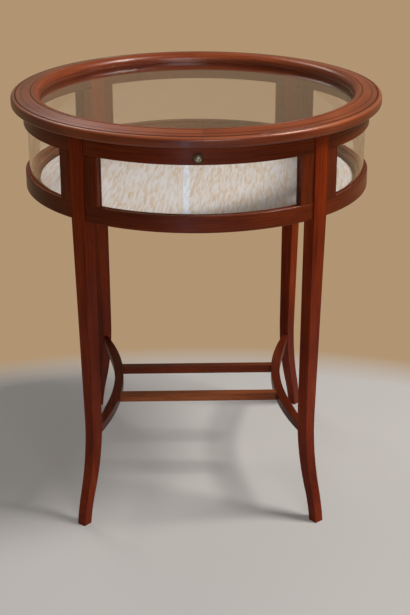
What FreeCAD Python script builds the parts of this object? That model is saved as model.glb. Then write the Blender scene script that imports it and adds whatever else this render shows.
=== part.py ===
import FreeCAD, Part
import os
import re
from collections import namedtuple

import Sketcher
from FreeCAD import Placement, Rotation, Vector

# Round glazed collectors table with a hinged lid.
# Frame: origin on the floor under the middle of the lid, +Z up, front towards -Y, sizes in millimetres.

DOC = FreeCAD.newDocument("CollectorsTable")

# ---------------------------------------------------------------- driving dimensions

SIZES = [
    # whole table
    ("table_height", 740.0, "floor to the crest of the lid"),
    ("lid_radius", 326.5, "outer edge of the lid"),
    ("lid_thickness", 23.0, "lid frame at its crest"),
    ("lid_gap", 0.3, "closed lid above the case"),
    ("edge_break", 0.8, "small bevel on the arrises of rails and legs"),
    # lid frame section
    ("lid_frame_width", 50.5, "outer edge to the clear opening over the glass"),
    ("lid_fall", 5.3, "crest down to the top of the lid's edge"),
    ("nosing_round", 5.6, "upper rounding of the lid's edge"),
    ("nosing_foot", 4.0, "lower rounding of the lid's edge"),
    ("inner_bead_width", 12.5, "rounded inner edge of the lid"),
    ("inner_bead_drop", 12.5, "how far that edge rounds down"),
    ("inner_quirk_inset", 16.0, "inner groove, from the opening"),
    ("outer_quirk_inset", 7.7, "outer groove, from the lid's edge"),
    ("quirk_width", 1.8, "both grooves"),
    ("quirk_depth", 1.4, "both grooves"),
    ("lid_glass_drop", 17.2, "crest of the lid to glass top"),
    ("lid_glass_thickness", 3.6, ""),
    ("lid_glass_margin", 0.4, "glass short of its rebate"),
    ("retainer_lap", 1.0, "glass retainer inside the opening"),
    ("lid_rebate_width", 6.0, "glass rebate, from the opening"),
    ("lid_joint_turn", 0.8, "degrees that the lid's joints are turned from the axes"),
    ("spline_length", 24.0, "loose tongue in each lid joint"),
    ("spline_width", 16.0, ""),
    ("spline_thickness", 4.0, ""),
    ("spline_height", 7.5, "lid underside to spline"),
    ("spline_inset", 13.0, "lid edge to spline"),
    # case
    ("lid_overhang", 20.5, "lid's edge past the outer face of rails and stiles"),
    ("rail_thickness", 20.0, "radial"),
    ("upper_rail_height", 32.0, ""),
    ("lower_rail_height", 28.8, ""),
    ("pane_height", 84.9, "clear height between the rails"),
    ("stile_width", 27.5, "along the outer face"),
    ("glass_rebate", 5.0, "width of the panes' rebate"),
    ("glass_setback", 6.5, "outer face to the panes' rebate"),
    ("pane_thickness", 3.0, ""),
    ("pane_lap", 4.0, "pane behind the rails and stiles"),
    ("bead_thickness", 3.2, "strips that hold the panes, radial"),
    ("soft_gap", 0.3, "between curved faces and round the lining"),
    ("tenon_length", 9.0, "rail tenons"),
    ("tenon_root", 1.0, "tenon inside its own rail"),
    ("tenon_thickness", 8.0, "rail tenons, radial"),
    ("upper_tenon_height", 19.0, ""),
    ("lower_tenon_height", 12.0, ""),
    ("tenon_fit", 0.1, "clearance round every tenon"),
    # bottom and lining
    ("board_thickness", 6.0, ""),
    ("board_inset", 2.0, "rail underside to board"),
    ("board_rebate", 8.0, "radial depth of the board's rebate"),
    ("board_screw_inset", 3.7, "board edge to screw centres"),
    ("lining_margin", 4.6, "covered pad short of the rails"),
    ("lining_thickness", 6.2, ""),
    ("lining_round", 2.5, "soft rounded edge"),
    # legs
    ("leg_angle", 49.3, "degrees from the side axis to a leg"),
    ("leg_proud", 2.0, "leg face in front of the rails"),
    ("leg_width", 29.0, "at the case"),
    ("leg_depth", 23.0, "at the case"),
    ("knee_height", 200.0, ""),
    ("knee_width", 20.8, ""),
    ("knee_depth", 21.5, ""),
    ("knee_inset", 9.0, "knee behind the leg's face"),
    ("ankle_height", 60.0, ""),
    ("ankle_kick", 8.2, "ankle in front of the leg's face"),
    ("ankle_depth", 17.9, ""),
    ("foot_kick", 20.3, "toe in front of the leg's face"),
    ("foot_width", 17.0, ""),
    ("foot_depth", 17.0, ""),
    # stretchers
    ("stretcher_top", 172.0, "floor to stretcher top"),
    ("stretcher_height", 15.0, ""),
    ("side_bow_width", 16.5, "curved stretchers, in the middle"),
    ("side_bow_depth", 30.5, "from their ends in to their middle"),
    ("side_bow_end_width", 9.0, "at the legs"),
    ("side_bow_end_inset", 0.8, "ends short of the legs' side faces"),
    ("side_bow_turn", 11.0, "degrees that their hollow side bends each way before it runs straight"),
    ("cross_bar_width", 14.5, "straight stretchers"),
    ("cross_bar_spacing", 124.0, "between the straight stretchers"),
    ("stretcher_tenon", 7.0, "square section of the stretcher tenons"),
    ("leg_tenon_reach", 10.0, "stretcher tenon in the leg"),
    ("leg_tenon_root", 6.0, "length of that tenon inside its stretcher"),
    ("bar_tenon_reach", 8.0, "straight stretcher's tenon in the curved one"),
    # hinges
    ("hinge_offset", 34.0, "table middle to the middle of a hinge"),
    ("hinge_length", 36.0, ""),
    ("hinge_set_back", 3.0, "pin behind the rail's outer face"),
    ("leaf_reach", 16.0, "pin axis to the far edge of a leaf"),
    ("leaf_thickness", 1.5, ""),
    ("knuckle_radius", 2.8, ""),
    ("knuckle_gap", 0.3, "along the pin and round the knuckles"),
    ("hinge_pin_radius", 1.25, ""),
    ("pin_fit", 0.05, "running clearance, radial"),
    ("hinge_screw_pitch", 12.0, ""),
    ("hinge_screw_set", 10.0, "pin axis to screw centres"),
    # screws: head radius, shank radius, length, head height
    ("small_head_radius", 2.2, "hinge and keeper screws"),
    ("small_shank_radius", 1.1, ""),
    ("small_screw_length", 9.5, ""),
    ("small_head_height", 1.4, ""),
    ("small_head_rim", 0.2, "straight edge of the head"),
    ("large_head_radius", 3.2, "board screws"),
    ("large_shank_radius", 1.6, ""),
    ("large_screw_length", 14.0, ""),
    ("large_head_height", 2.0, ""),
    ("large_head_rim", 0.3, "straight edge of the head"),
    ("slot_width", 0.6, "screw slots"),
    ("slot_depth", 0.5, ""),
    ("screw_fit", 0.05, "screw in its hole, radial"),
    # lock
    ("lock_offset", -3.0, "lock to the right of the middle of the front"),
    ("lock_drop", 20.7, "top of the case to lock axis"),
    ("lock_flange_radius", 9.0, ""),
    ("lock_flange_thickness", 1.6, ""),
    ("flange_round", 0.5, "bevel on the flange"),
    ("lock_sleeve_radius", 4.2, ""),
    ("lock_shaft_radius", 3.0, ""),
    ("lock_head_radius", 5.6, ""),
    ("lock_head_height", 2.8, ""),
    ("lock_head_rim", 0.8, "straight part of the head"),
    ("key_slot_width", 1.2, ""),
    ("key_slot_length", 6.0, ""),
    ("key_slot_depth", 1.6, ""),
    ("lock_nut_flat", 11.0, "across flats"),
    ("lock_nut_thickness", 3.0, ""),
    ("lock_sleeve_proud", 0.8, "sleeve past its nut"),
    ("lock_play", 0.3, "turning parts clear of the fixed ones, along the lock"),
    ("cam_length", 18.0, "lock axis to the tip of the tongue"),
    ("cam_width", 7.0, ""),
    ("cam_thickness", 2.0, ""),
    ("cam_screw_head", 2.0, "head radius"),
    ("cam_screw_shank", 1.0, "shank radius"),
    ("cam_screw_height", 1.2, "head height"),
    ("cam_screw_length", 6.0, "under the head"),
    # keeper on the lid
    ("keeper_side_gap", 2.2, "between the lock's nut and the keeper"),
    ("keeper_width", 12.0, ""),
    ("keeper_thickness", 1.5, ""),
    ("keeper_reach", 16.7, "depth of the plate let into the lid"),
    ("keeper_gap", 0.6, "between the keeper and the turned tongue, along the lock"),
    ("keeper_lip", 4.3, "depth of the lip under the tongue"),
    ("keeper_play", 2.5, "turned tongue above the lip"),
    ("keeper_screw_pitch", 6.0, ""),
    ("keeper_screw_set", 9.0, "keeper's inner face to screw centres"),
]

# Places worked out from the sizes. Each formula may use the sizes and the places above it.
PLACES = [
    ("lid_bottom", "table_height - lid_thickness"),
    ("case_top", "lid_bottom - lid_gap"),
    ("upper_rail_bottom", "case_top - upper_rail_height"),
    ("lower_rail_top", "upper_rail_bottom - pane_height"),
    ("case_bottom", "lower_rail_top - lower_rail_height"),
    ("rail_outer_radius", "lid_radius - lid_overhang"),
    ("rail_inner_radius", "rail_outer_radius - rail_thickness"),
    ("rebate_radius", "rail_outer_radius - glass_setback"),
    ("rebate_floor", "lower_rail_top - glass_rebate"),
    ("rebate_ceiling", "upper_rail_bottom + glass_rebate"),
    ("pane_outer_radius", "rebate_radius - soft_gap"),
    ("pane_inner_radius", "pane_outer_radius - pane_thickness"),
    ("bead_outer_radius", "pane_inner_radius - soft_gap"),
    ("bead_inner_radius", "bead_outer_radius - bead_thickness"),
    ("board_bottom", "case_bottom + board_inset"),
    ("board_top", "board_bottom + board_thickness"),
    ("board_rebate_radius", "rail_inner_radius + board_rebate"),
    ("board_radius", "board_rebate_radius - soft_gap"),
    ("lining_bottom", "board_top + soft_gap"),
    ("lining_top", "lining_bottom + lining_thickness"),
    ("lining_radius", "rail_inner_radius - lining_margin"),
    ("board_screw_circle", "board_radius - board_screw_inset"),
    ("leg_outer_radius", "rail_outer_radius + leg_proud"),
    ("leg_inner_radius", "leg_outer_radius - leg_depth"),
    ("knee_outer", "leg_outer_radius - knee_inset"),
    ("knee_inner", "knee_outer - knee_depth"),
    ("ankle_outer", "leg_outer_radius + ankle_kick"),
    ("ankle_inner", "ankle_outer - ankle_depth"),
    ("toe_outer", "leg_outer_radius + foot_kick"),
    ("toe_inner", "toe_outer - foot_depth"),
    ("leg_half_angle", "asin(leg_width / 2 / rail_outer_radius) / 1 deg"),
    ("stile_angle", "stile_width / rail_outer_radius * 180 / pi"),
    ("rebate_angle", "glass_rebate / rebate_radius * 180 / pi"),
    ("lap_angle", "pane_lap / rebate_radius * 180 / pi"),
    ("bead_end_angle", "asin((leg_width / 2 + soft_gap) / bead_inner_radius) / 1 deg"),
    ("front_half_gap", "90 - leg_angle"),
    ("tenon_radius", "rail_outer_radius - (rail_thickness + tenon_thickness) / 2"),
    ("upper_tenon_bottom", "(rebate_ceiling + case_top - upper_tenon_height) / 2"),
    ("lower_tenon_bottom", "(board_top + rebate_floor - lower_tenon_height) / 2"),
    ("lid_opening_radius", "lid_radius - lid_frame_width"),
    ("lid_rebate_radius", "lid_opening_radius + lid_rebate_width"),
    ("lid_glass_top", "table_height - lid_glass_drop"),
    ("lid_glass_bottom", "lid_glass_top - lid_glass_thickness"),
    ("lid_glass_radius", "lid_rebate_radius - lid_glass_margin"),
    ("inner_quirk_radius", "lid_opening_radius + inner_quirk_inset"),
    ("outer_quirk_radius", "lid_radius - outer_quirk_inset"),
    ("nosing_crown", "lid_radius - nosing_round"),
    ("nosing_top", "table_height - lid_fall"),
    ("inner_quirk_top", "table_height"),
    (
        "outer_quirk_top",
        "nosing_top + lid_fall * (nosing_crown - outer_quirk_radius) / (nosing_crown - inner_quirk_radius)",
    ),
    ("spline_inner_radius", "lid_radius - spline_inset - spline_width"),
    ("spline_bottom", "lid_bottom + spline_height"),
    ("stretcher_bottom", "stretcher_top - stretcher_height"),
    ("bow_end_outer", "knee_width / 2 - side_bow_end_inset"),
    ("bow_end_inner", "bow_end_outer - side_bow_end_width"),
    ("bow_end_middle", "(bow_end_outer + bow_end_inner) / 2"),
    ("bow_middle", "knee_inner * cos(leg_angle) - side_bow_depth"),
    ("convex_middle", "bow_middle - side_bow_width / 2"),
    ("convex_end_x", "knee_inner * cos(leg_angle) + bow_end_inner * sin(leg_angle)"),
    ("convex_end_y", "knee_inner * sin(leg_angle) - bow_end_inner * cos(leg_angle)"),
    ("convex_rise", "convex_end_x - convex_middle"),
    ("convex_radius", "(convex_rise ^ 2 + convex_end_y ^ 2) / (2 * convex_rise)"),
    ("convex_centre", "convex_middle + convex_radius"),
    ("concave_middle", "bow_middle + side_bow_width / 2"),
    ("concave_end_x", "knee_inner * cos(leg_angle) + bow_end_outer * sin(leg_angle)"),
    ("concave_end_y", "knee_inner * sin(leg_angle) - bow_end_outer * cos(leg_angle)"),
    ("concave_rise", "concave_end_x - concave_middle"),
    ("concave_lean", "concave_end_y * sin(side_bow_turn) - concave_rise * cos(side_bow_turn)"),
    ("concave_radius", "concave_lean / (1 - cos(side_bow_turn))"),
    ("concave_centre", "concave_middle + concave_radius"),
    ("bend_end_x", "concave_centre - concave_radius * cos(side_bow_turn)"),
    ("bend_end_y", "concave_radius * sin(side_bow_turn)"),
    ("stretcher_tenon_bottom", "stretcher_bottom + (stretcher_height - stretcher_tenon) / 2"),
    ("leg_tenon_end", "knee_inner + leg_tenon_reach"),
    ("bar_line", "cross_bar_spacing / 2"),
    ("bar_shoulder", "convex_centre - sqrt(convex_radius ^ 2 - bar_line ^ 2)"),
    ("bar_tenon_end", "bar_shoulder + bar_tenon_reach"),
    ("hinge_axis_y", "rail_outer_radius + hinge_set_back"),
    ("hinge_axis_z", "case_top + lid_gap / 2"),
    ("hinge_screw_y", "hinge_axis_y - hinge_screw_set"),
    ("leaf_far_edge", "hinge_axis_y - leaf_reach"),
    ("knuckle_length", "(hinge_length - 4 * knuckle_gap) / 5"),
    ("lock_height", "case_top - lock_drop"),
    ("lock_nut_radius", "lock_nut_flat / sqrt(3)"),
    ("lock_nut_seat", "sqrt(rail_inner_radius ^ 2 - (lock_nut_radius - lock_offset) ^ 2)"),
    ("lock_nut_end", "lock_nut_seat - lock_nut_thickness"),
    ("lock_sleeve_end", "lock_nut_end - lock_sleeve_proud"),
    ("lock_shaft_end", "lock_sleeve_end - lock_play"),
    ("cam_end", "lock_shaft_end - cam_thickness"),
    ("lock_flange_face", "rail_outer_radius + lock_flange_thickness"),
    ("lock_head_back", "lock_flange_face + lock_play"),
    ("lock_head_top", "lock_head_back + lock_head_height"),
    ("keeper_inner_face", "lock_shaft_end + keeper_gap"),
    ("keeper_outer_face", "keeper_inner_face + keeper_thickness"),
    ("keeper_left", "lock_offset + lock_nut_radius + keeper_side_gap"),
    ("keeper_middle", "keeper_left + keeper_width / 2"),
    ("keeper_lip_top", "lock_height - cam_width / 2 - keeper_play"),
    ("keeper_bottom", "keeper_lip_top - keeper_thickness"),
    ("keeper_screw_y", "keeper_inner_face + keeper_screw_set"),
]

SIZE_NAMES = [name for name, _, _ in SIZES]
PLACE_NAMES = [name for name, _ in PLACES]


def named(text):
    """The text as a FreeCAD expression: each size or place gets the name of its sheet."""

    def full(match):
        word = match.group(0)
        if word in SIZE_NAMES:
            return "Sizes." + word
        if word in PLACE_NAMES:
            return "Places." + word
        return word

    return re.sub(r"[A-Za-z_]\w*", full, text)


def fill_sheets():
    sizes = DOC.addObject("Spreadsheet::Sheet", "Sizes")
    for row, (name, value, note) in enumerate(SIZES, start=1):
        sizes.set(f"A{row}", name)
        sizes.set(f"B{row}", str(value))
        sizes.set(f"C{row}", note)
        sizes.setAlias(f"B{row}", name)
    places = DOC.addObject("Spreadsheet::Sheet", "Places")
    for row, (name, formula) in enumerate(PLACES, start=1):
        places.set(f"A{row}", name)
        places.set(f"B{row}", "=" + named(formula).replace("Places.", ""))
        places.setAlias(f"B{row}", name)
        DOC.recompute()
    return sizes, places


SHEET, DERIVED = fill_sheets()


def value_of(text):
    """Present value of an expression, used to draw a sketch near its final shape."""
    return float(SHEET.evalExpression(named(text)))


# ---------------------------------------------------------------- helpers

FULL_TURN = "360"
FIRST_GUESS = 1.0
UPRIGHT = Vector(0, 0, 1)
NODES = []

# Corner of an outline. A bulge makes the edge that leaves it an arc: its rough height over the chord,
# positive to the left of the way. The true arc comes from its centre_x or from smooth corners.
Corner = namedtuple("Corner", "x y bulge centre_x smooth", defaults=(0, None, False))


def node(thing, label):
    """Marks a finished sub-part: the label names its file."""
    thing.Label = label
    NODES.append(thing)
    return thing


def bind(thing, **texts):
    for name, text in texts.items():
        thing.setExpression(name, named(text))


def put(thing, x="0", y="0", z="0", turn=None, axis=UPRIGHT):
    """Binds a placement: a point, and a turn in degrees about an axis through it."""
    if turn is not None:
        thing.Placement = Placement(Vector(), Rotation(axis, value_of(turn) or FIRST_GUESS))
        thing.setExpression("Placement.Rotation.Angle", named(turn))
    for name, text in (("x", x), ("y", y), ("z", z)):
        thing.setExpression("Placement.Base." + name, named(text))
    return thing


def turned(x, y, angle):
    """Texts for a point after a turn about the table's axis."""
    return (
        f"({x}) * cos({angle}) - ({y}) * sin({angle})",
        f"({x}) * sin({angle}) + ({y}) * cos({angle})",
    )


def new_body(name):
    return DOC.addObject("PartDesign::Body", name)


def sketch_on(body, name, role, height="0"):
    """Sketch on one of the body's own planes, or at a height over it."""
    plane = next(item for item in body.Origin.OriginFeatures if item.Role == role)
    sketch = body.newObject("Sketcher::SketchObject", name)
    sketch.AttachmentSupport = (plane, [""])
    sketch.MapMode = "FlatFace"
    sketch.setExpression("AttachmentOffset.Base.z", named(height))
    return sketch


def drive(sketch, kind, *where, text):
    number = sketch.addConstraint(Sketcher.Constraint(kind, *where, value_of(text)))
    sketch.setExpression(f"Constraints[{number}]", named(text))


def draw_edge(sketch, start, end, bulge):
    """Adds a line or arc and says which of its points are its start and end. Arcs run anticlockwise."""
    chord = end - start
    left = Vector(-chord.y, chord.x, 0).normalize()
    middle = (start + end) / 2 + left * bulge
    if bulge < 0:
        shape = Part.Arc(start, middle, end)
    elif bulge > 0:
        shape = Part.Arc(end, middle, start)
    else:
        shape = Part.LineSegment(start, end)
    number = sketch.addGeometry(shape, False)
    return (number, 2, 1) if bulge > 0 else (number, 1, 2)


def outline(sketch, corners):
    """Draws a closed outline through its corners, all driven by the sizes."""
    corners = [Corner(*corner) for corner in corners]
    points = [Vector(value_of(corner.x), value_of(corner.y), 0) for corner in corners]
    following = points[1:] + points[:1]
    edges = [
        draw_edge(sketch, start, end, corner.bulge)
        for start, end, corner in zip(points, following, corners)
    ]
    for index, corner in enumerate(corners):
        number, start, _ = edges[index]
        before, _, end = edges[index - 1]
        kind = "Tangent" if corner.smooth else "Coincident"
        sketch.addConstraint(Sketcher.Constraint(kind, before, end, number, start))
        drive(sketch, "DistanceX", number, start, text=corner.x)
        drive(sketch, "DistanceY", number, start, text=corner.y)
        if corner.centre_x is not None:
            drive(sketch, "DistanceX", number, 3, text=corner.centre_x)
    return sketch


def circle(sketch, radius, x="0", y="0"):
    """Draws a circle whose radius and centre follow the sizes."""
    centre = Vector(value_of(x), value_of(y), 0)
    number = sketch.addGeometry(Part.Circle(centre, UPRIGHT, value_of(radius)), False)
    drive(sketch, "Radius", number, text=radius)
    drive(sketch, "DistanceX", number, 3, text=x)
    drive(sketch, "DistanceY", number, 3, text=y)
    return sketch


def rectangle(sketch, left, bottom, right, top):
    return outline(sketch, [(left, bottom), (right, bottom), (right, top), (left, top)])


def pad(body, sketch, length, both_ways=False):
    feature = body.newObject("PartDesign::Pad", sketch.Name + "_pad")
    feature.Profile = sketch
    bind(feature, Length=length)
    if both_ways:
        feature.Midplane = True
    return feature


def revolve(body, sketch, angle=FULL_TURN, both_ways=False, groove=False, backwards=False):
    kind = "PartDesign::Groove" if groove else "PartDesign::Revolution"
    feature = body.newObject(kind, sketch.Name + "_turn")
    feature.Profile = sketch
    feature.ReferenceAxis = (sketch, ["V_Axis"])
    bind(feature, Angle=angle)
    if both_ways:
        feature.Midplane = True
    if backwards:
        feature.Reversed = True
    return feature


def box_in(body, name, corner, sides, turn=None, cut=False):
    """Adds or cuts a box in a body, its corner and sides turned about the body's own Z axis."""
    kind = "PartDesign::SubtractiveBox" if cut else "PartDesign::AdditiveBox"
    return place_box(body.newObject(kind, name), corner, sides, turn)


def free_box(name, corner, sides, turn=None):
    return place_box(DOC.addObject("Part::Box", name), corner, sides, turn)


def place_box(box, corner, sides, turn):
    bind(box, Length=sides[0], Width=sides[1], Height=sides[2])
    x, y, z = corner
    if turn is not None:
        x, y = turned(x, y, turn)
    return put(box, x, y, z, turn)


def cylinder_in(body, name, corner, radius, height, turn=None, axis=UPRIGHT, cut=False):
    kind = "PartDesign::SubtractiveCylinder" if cut else "PartDesign::AdditiveCylinder"
    feature = body.newObject(kind, name)
    bind(feature, Radius=radius, Height=height)
    return put(feature, *corner, turn=turn, axis=axis)


def free_cylinder(name, corner, radius, height, turn=None, axis=UPRIGHT):
    cylinder = DOC.addObject("Part::Cylinder", name)
    bind(cylinder, Radius=radius, Height=height)
    return put(cylinder, *corner, turn=turn, axis=axis)


def compound(name, pieces):
    group = DOC.addObject("Part::Compound", name)
    group.Links = pieces
    return group


def cut(base, tool, name):
    result = DOC.addObject("Part::Cut", name)
    result.Base = base
    result.Tool = tool
    return result


def fuse(pieces, name):
    result = DOC.addObject("Part::MultiFuse", name)
    result.Shapes = pieces
    return result


# ---------------------------------------------------------------- screws

ALONG_X = Vector(1, 0, 0)
HALF_TURN = "180"
QUARTER_TURN = "90"


def screw_profile(body, size, room):
    """Section of a countersunk screw with its head's flat face at the origin and its shank down -Z."""
    head, shank = f"{size}_head_radius + {room}", f"{size}_shank_radius + {room}"
    height, length = f"{size}_head_height", f"{size}_screw_length"
    return outline(
        sketch_on(body, body.Name + "_section", "XZ_Plane"),
        [
            ("0", room),
            (head, room),
            (head, f"0 - {size}_head_rim"),
            (shank, f"0 - {height}"),
            (shank, f"0 - {length} - {room}"),
            ("0", f"0 - {length} - {room}"),
        ],
    )


def make_screw(size):
    body = new_body(size + "_screw")
    revolve(body, screw_profile(body, size, "0"))
    box_in(
        body,
        size + "_slot",
        (f"-{size}_head_radius", "-slot_width / 2", "-slot_depth"),
        (f"2 * {size}_head_radius", "slot_width", "2 * slot_depth"),
        cut=True,
    )
    return body


def make_hole(size):
    """What a screw needs cut for it."""
    body = new_body(size + "_hole")
    revolve(body, screw_profile(body, size, "screw_fit"))
    return body


SCREWS = {size: make_screw(size) for size in ("small", "large")}
HOLES = {size: make_hole(size) for size in ("small", "large")}


def set_out(name, pattern, spots, up=False):
    """Copies of a screw or hole at (x, y, z) texts; up turns the shanks upwards."""
    copies = []
    for number, spot in enumerate(spots, start=1):
        copy = DOC.addObject("App::Link", f"{name}_{number}")
        copy.LinkedObject = pattern
        put(copy, *spot, turn=HALF_TURN if up else None, axis=ALONG_X)
        copies.append(copy)
    return compound(name, copies)


BOARD_SCREWS = 8
BOARD_SPOTS = [
    (*turned("board_screw_circle", "0", (step + 0.5) * 360 / BOARD_SCREWS), "board_bottom")
    for step in range(BOARD_SCREWS)
]
HINGES = {"left": "-", "right": ""}
HINGE_XS = [
    f"{sign}hinge_offset + ({step}) * hinge_screw_pitch" for sign in HINGES.values() for step in (-1, 0, 1)
]
CASE_HINGE_SPOTS = [(x, "hinge_screw_y", "case_top") for x in HINGE_XS]
LID_HINGE_SPOTS = [(x, "hinge_screw_y", "lid_bottom") for x in HINGE_XS]
KEEPER_SPOTS = [
    (f"keeper_middle + ({step}) * keeper_screw_pitch / 2", "-keeper_screw_y", "lid_bottom")
    for step in (-1, 1)
]

# ---------------------------------------------------------------- case: rails, stiles, panes

# Middle of each side of the case in degrees, and half the angle between the legs beside it.
SIDES = {
    "right": ("0", "leg_angle"),
    "back": ("90", "front_half_gap"),
    "left": ("180", "leg_angle"),
    "front": ("270", "front_half_gap"),
}
# The side that each stile is nearest to: at the end that a turn about +Z reaches last, then first.
STILE_ENDS = {
    "right": ("back", "front"),
    "back": ("left", "right"),
    "left": ("front", "back"),
    "front": ("right", "left"),
}


def arc_body(name, corners, half_angle, turn):
    """Curved bar: a section in the XZ plane swept the same way both sides of +X, then turned."""
    body = new_body(name)
    profile = outline(sketch_on(body, name + "_section", "XZ_Plane"), corners)
    revolve(body, profile, f"2 * ({half_angle})", both_ways=True)
    return put(body, turn=turn)


def arc_block(name, inner, outer, bottom, top, half_angle, turn):
    corners = [(inner, bottom), (outer, bottom), (outer, top), (inner, top)]
    return arc_body(name, corners, half_angle, turn)


def join_to_legs(body, half_gap, bottom, height, tenon_bottom, tenon_height):
    """Squares a rail's ends against the legs beside it and gives each a tenon."""
    for end, sign, start in (
        ("a", "", "0 - leg_width / 2 - tenon_root"),
        ("b", "-", "leg_width / 2 - tenon_length"),
    ):
        box_in(
            body,
            f"{body.Name}_end_{end}",
            ("rail_inner_radius - rail_thickness", "0 - leg_width / 2", bottom),
            ("3 * rail_thickness", "leg_width", height),
            turn=f"{sign}({half_gap})",
            cut=True,
        )
        box_in(
            body,
            f"{body.Name}_tenon_{end}",
            ("tenon_radius", start, tenon_bottom),
            ("tenon_thickness", "tenon_length + tenon_root", tenon_height),
            turn=f"{sign}({half_gap})",
        )


def make_upper_rail(side):
    turn, half_gap = SIDES[side]
    body = arc_body(
        f"rail_above_{side}",
        [
            ("rebate_radius", "upper_rail_bottom"),
            ("rail_outer_radius - edge_break", "upper_rail_bottom"),
            ("rail_outer_radius", "upper_rail_bottom + edge_break"),
            ("rail_outer_radius", "case_top"),
            ("rail_inner_radius", "case_top"),
            ("rail_inner_radius", "rebate_ceiling"),
            ("rebate_radius", "rebate_ceiling"),
        ],
        half_gap,
        turn,
    )
    join_to_legs(
        body, half_gap, "upper_rail_bottom", "upper_rail_height", "upper_tenon_bottom", "upper_tenon_height"
    )
    return body


def make_lower_rail(side):
    turn, half_gap = SIDES[side]
    body = arc_body(
        f"rail_below_{side}",
        [
            ("board_rebate_radius", "case_bottom"),
            ("rail_outer_radius - edge_break", "case_bottom"),
            ("rail_outer_radius", "case_bottom + edge_break"),
            ("rail_outer_radius", "lower_rail_top - edge_break"),
            ("rail_outer_radius - edge_break", "lower_rail_top"),
            ("rebate_radius", "lower_rail_top"),
            ("rebate_radius", "rebate_floor"),
            ("rail_inner_radius", "rebate_floor"),
            ("rail_inner_radius", "board_top"),
            ("board_rebate_radius", "board_top"),
        ],
        half_gap,
        turn,
    )
    join_to_legs(
        body, half_gap, "case_bottom", "lower_rail_height", "lower_tenon_bottom", "lower_tenon_height"
    )
    return body


def make_stile(side, last):
    """Curved stile beside a leg, rebated for its pane, at the last or first end of a side of the case."""
    turn, half_gap = SIDES[side]
    name = f"stile_body_{side}_{'last' if last else 'first'}"
    body = new_body(name)
    for part, inner, angle in (
        ("post", "rail_inner_radius", "leg_half_angle + stile_angle - rebate_angle"),
        ("lip", "rebate_radius", "leg_half_angle + stile_angle"),
    ):
        profile = sketch_on(body, f"{name}_{part}", "XZ_Plane")
        rectangle(profile, inner, "lower_rail_top", "rail_outer_radius", "upper_rail_bottom")
        revolve(body, profile, angle, backwards=last)
    box_in(
        body,
        name + "_leg_side",
        ("rail_inner_radius - rail_thickness", "0 - leg_width / 2", "lower_rail_top"),
        ("3 * rail_thickness", "leg_width", "pane_height"),
        cut=True,
    )
    return put(body, turn=f"{turn} {'+' if last else '-'} {half_gap}")


def make_pane(side):
    turn, half_gap = SIDES[side]
    return arc_block(
        f"pane_{side}",
        "pane_inner_radius",
        "pane_outer_radius",
        "rebate_floor",
        "upper_rail_bottom + pane_lap",
        f"{half_gap} - leg_half_angle - stile_angle + lap_angle",
        turn,
    )


def make_glazing_beads(side):
    """Four strips that hold a pane from inside: a long one below and above it, a short one at each end."""
    turn, half_gap = SIDES[side]
    long_half = f"{half_gap} - bead_end_angle"
    middle = f"{half_gap} - leg_half_angle - stile_angle + rebate_angle / 2"
    strips = [
        ("low", "rebate_floor", "lower_rail_top", long_half, turn),
        ("high", "upper_rail_bottom", "rebate_ceiling", long_half, turn),
        ("last", "lower_rail_top", "upper_rail_bottom", "rebate_angle / 2", f"{turn} + {middle}"),
        ("first", "lower_rail_top", "upper_rail_bottom", "rebate_angle / 2", f"{turn} - ({middle})"),
    ]
    return compound(
        f"beads_{side}",
        [
            arc_block(f"bead_{side}_{part}", "bead_inner_radius", "bead_outer_radius", low, high, half, at)
            for part, low, high, half, at in strips
        ],
    )


def hinge_cuts(name, z, spots, up):
    """Recesses for one set of hinge leaves, with their screw holes, the recess starting at height z."""
    tools = [set_out(name + "_screw_holes", HOLES["small"], spots, up=up)]
    for side, sign in HINGES.items():
        tools.append(
            free_box(
                f"{name}_recess_{side}",
                (f"{sign}hinge_offset - hinge_length / 2 - tenon_fit", "leaf_far_edge - tenon_fit", z),
                ("hinge_length + 2 * tenon_fit", "leaf_reach + tenon_fit", "leaf_thickness"),
            )
        )
    return tools


def make_case():
    upper = {side: make_upper_rail(side) for side in SIDES}
    tools = hinge_cuts("case_hinges", "case_top - leaf_thickness", CASE_HINGE_SPOTS, up=False)
    upper["back"] = cut(upper["back"], compound("case_hinge_cuts", tools), "rail_above_back_cut")
    bore = free_cylinder(
        "lock_bore",
        ("lock_offset", "-rail_inner_radius + rail_thickness", "lock_height"),
        "lock_sleeve_radius + screw_fit",
        "3 * rail_thickness",
        turn=QUARTER_TURN,
        axis=ALONG_X,
    )
    upper["front"] = cut(upper["front"], bore, "rail_above_front_cut")
    board_holes = set_out("board_screw_holes", HOLES["large"], BOARD_SPOTS, up=True)
    for side in SIDES:
        node(upper[side], f"upper_rail_{side}")
        node(cut(make_lower_rail(side), board_holes, f"rail_below_{side}_cut"), f"lower_rail_{side}")
        node(make_stile(side, True), f"stile_{side}_{STILE_ENDS[side][0]}")
        node(make_stile(side, False), f"stile_{side}_{STILE_ENDS[side][1]}")
        node(make_pane(side), f"glass_pane_{side}")
        node(make_glazing_beads(side), f"glazing_beads_{side}")
    make_bottom_board(board_holes)
    make_lining()


# ---------------------------------------------------------------- bottom board and lining

LEGS = {
    "back_right": "leg_angle",
    "back_left": "180 - leg_angle",
    "front_left": "180 + leg_angle",
    "front_right": "360 - leg_angle",
}
# Which way along a leg's inner face is the table's left or right side.
OUTWARD = {"back_right": "-", "back_left": "", "front_left": "-", "front_right": ""}


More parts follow.
